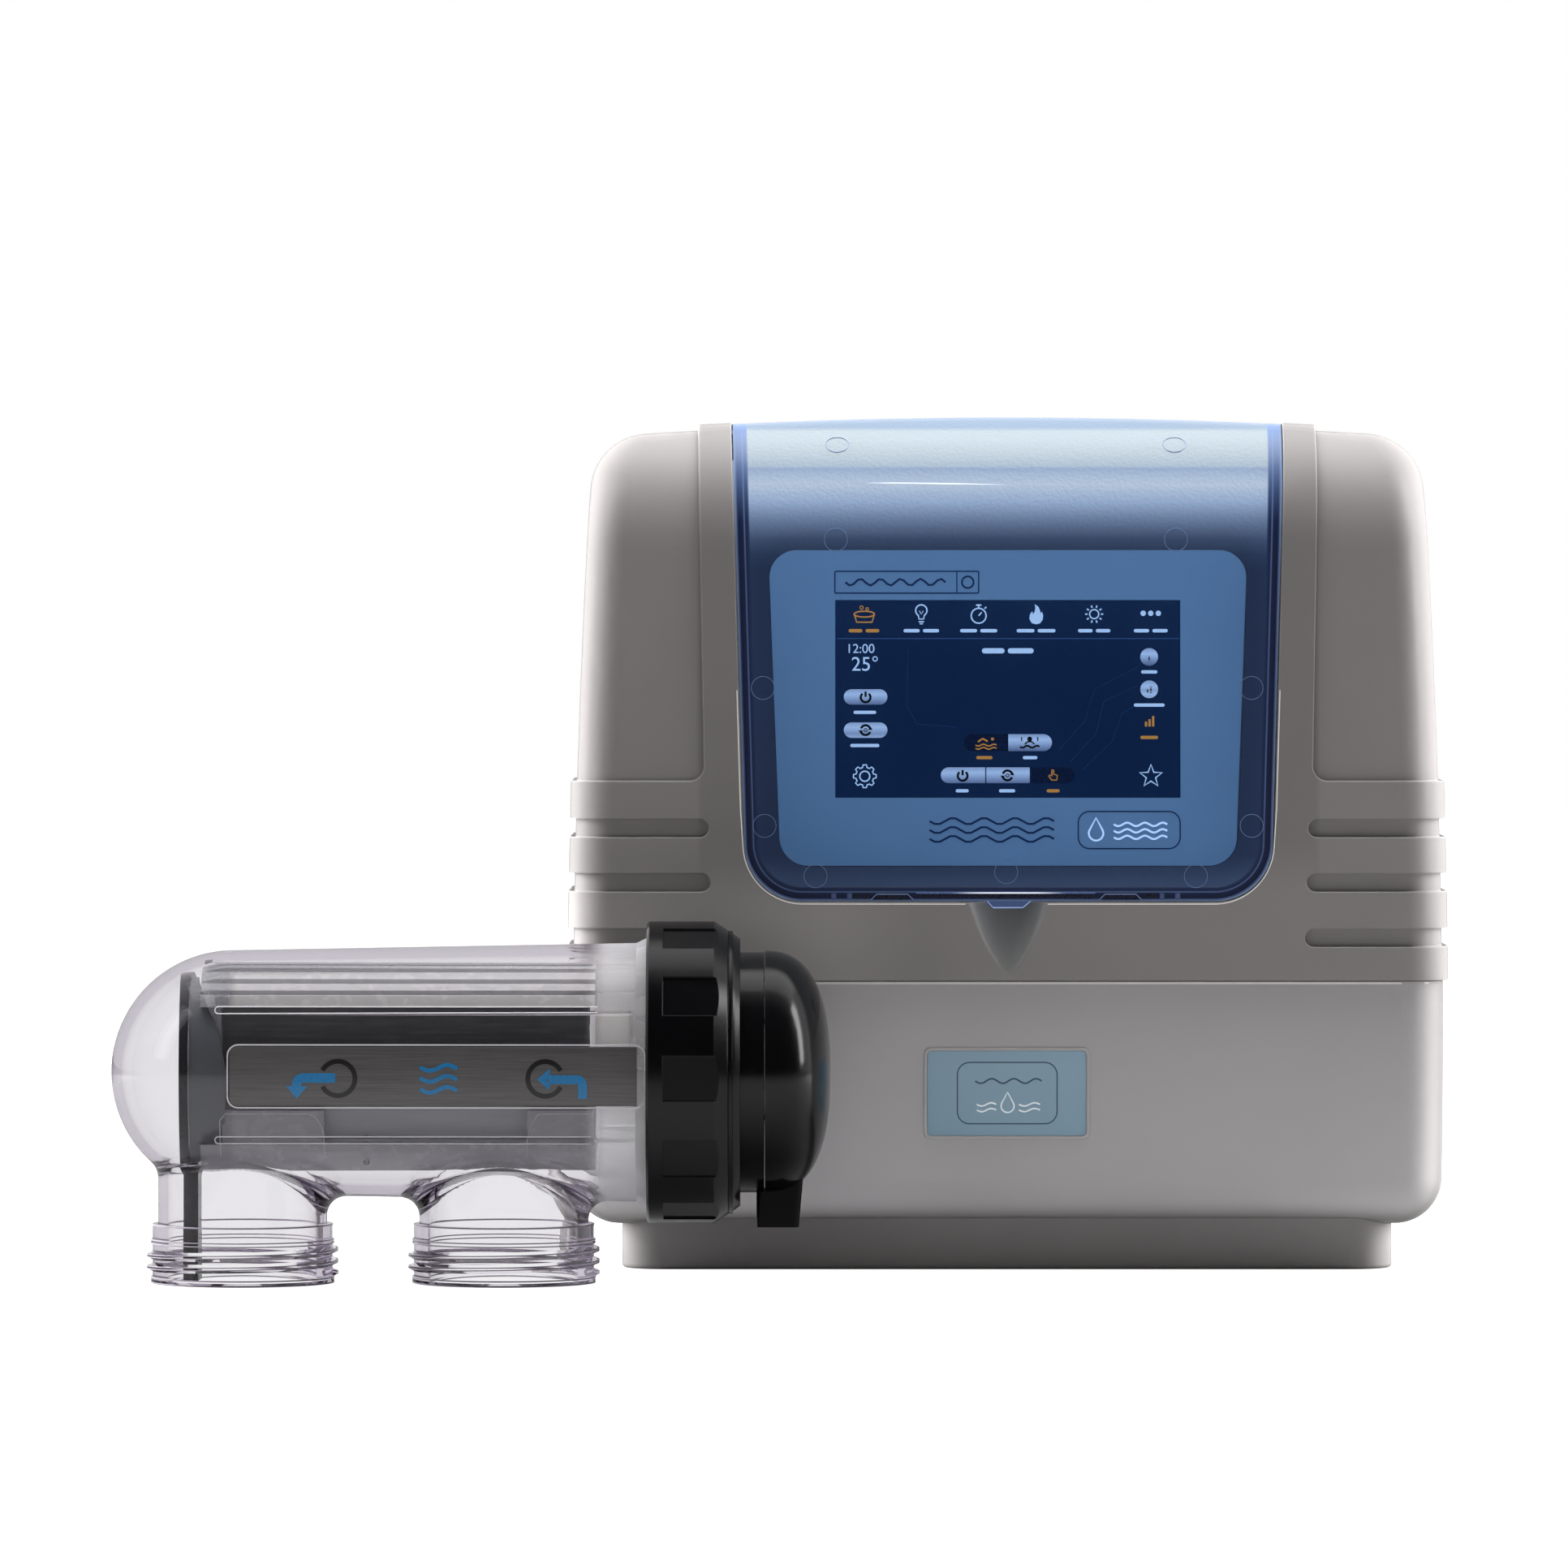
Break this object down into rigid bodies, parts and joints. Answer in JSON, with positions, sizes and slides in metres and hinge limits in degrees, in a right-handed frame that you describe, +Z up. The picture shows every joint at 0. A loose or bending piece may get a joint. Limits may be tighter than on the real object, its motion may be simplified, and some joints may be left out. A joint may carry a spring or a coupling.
{
  "type": "salt chlorine generator",
  "caption": "Pool salt chlorine generator: a boxy wall or shelf control unit with a blue flip-up lid over a screen, and a clear cell with threaded ports, electrode plates and a locking ring.",
  "frame": {"origin": "centre of the control unit's flat foot, on the plane it stands on", "axes": "+Z up, -Y out of the control unit's front (screen side), +X to the right seen from the front"},
  "size_m": [0.5303, 0.2661, 0.342],
  "materials": {
    "grey_case": "satin moulded",
    "grey_cover": "satin moulded",
    "light_grey_cover": "satin moulded",
    "black_rubber": "soft matt",
    "stainless": "turned",
    "blue_clear": "tinted clear with a frosted border",
    "blue_fascia": "printed",
    "screen_glass": "glossy",
    "dark_metal": "satin",
    "circuit_board": "lacquered",
    "aluminium_bare": "extruded",
    "winding_tape": "taped",
    "aluminium_sleeve": "sleeved",
    "relay_plastic": "moulded",
    "green_plastic": "moulded",
    "pale_blue_label": "domed print",
    "black_plastic": "moulded",
    "red_plastic": "moulded",
    "zinc_steel": "zinc plated",
    "ribbon_grey": "flat cable",
    "wire_sleeve": "wire sleeve",
    "clear_housing": "polished clear",
    "label_foil": "brushed foil",
    "smoke_plastic": "smoked",
    "black_gloss": "gloss",
    "coated_titanium": "oxide coated mesh",
    "bare_titanium": "rolled titanium",
    "grey_clear_plastic": "translucent",
    "grey_plastic": "translucent",
    "cream_plastic": "moulded",
    "brass_nut": "turned",
    "black_satin": "satin"
  },
  "bodies": {
    "controller": {"rear_case": "grey_case", "upper_front_cover": "grey_cover", "lower_front_cover": "light_grey_cover", "cover_gasket": "black_rubber", "hinge_pins": "stainless", "display_fascia": "blue_fascia", "touch_glass": "screen_glass", "lcd_module": "dark_metal", "control_board": "circuit_board", "board_screws": "stainless", "power_board": "circuit_board", "heat_sink": "aluminium_bare", "transformer": "winding_tape", "transformer_bolt": "stainless", "capacitors": "aluminium_sleeve", "relays": "relay_plastic", "terminal_block": "green_plastic", "badge": "pale_blue_label", "mains_gland": "black_plastic", "gland_nut": "black_plastic", "cell_lead_socket": "black_plastic", "pump_outlet": "black_plastic", "breaker_body": "black_plastic", "cover_screws": "stainless", "ribbon_cable": "ribbon_grey", "wiring_loom": "wire_sleeve"},
    "lid": {"lid": "blue_clear"},
    "breaker_button": {"breaker_button": "red_plastic"},
    "wall_bracket": {"wall_bracket": "zinc_steel"},
    "cell": {"cell_housing": "clear_housing", "cell_label": "label_foil", "end_baffle": "smoke_plastic"},
    "cartridge": {"cell_cap": "black_gloss", "cap_seal": "black_rubber", "terminal_cover": "black_gloss", "terminal_cover_screws": "stainless", "cable_grommet": "black_rubber", "anode_plates": "coated_titanium", "cathode_plates": "bare_titanium", "carrier_top": "grey_clear_plastic", "carrier_bottom": "grey_plastic", "flow_sensor": "bare_titanium", "bus_bars": "bare_titanium", "bus_insulator": "cream_plastic", "terminal_posts": "bare_titanium", "terminal_nuts": "brass_nut"},
    "locking_ring": {"locking_ring": "black_satin"}
  },
  "joints": [
    {"name": "lid_hinge", "type": "hinge", "parent": "controller", "child": "lid", "pos_m": [0, 0.0074, 0.334], "axis": [-1, 0, 0], "range_deg": [0, 100]},
    {"name": "breaker_press", "type": "slide", "parent": "controller", "child": "breaker_button", "axis": [0, 0, 1], "range_m": [0, 0.002]},
    {"name": "bracket_unhook", "type": "slide", "parent": "controller", "child": "wall_bracket", "axis": [0, 0, -1], "range_m": [0, 0.0078]},
    {"name": "cell_apart", "type": "slide", "parent": "controller", "child": "cell", "axis": [0, -1, 0], "range_m": [0, 0.15]},
    {"name": "cartridge_out", "type": "slide", "parent": "cell", "child": "cartridge", "axis": [1, 0, 0], "range_m": [0, 0.225]},
    {"name": "ring_turn", "type": "hinge", "parent": "cartridge", "child": "locking_ring", "pos_m": [-0.125, -0.138, 0.0826], "axis": [-1, 0, 0], "continuous": true}
  ]
}
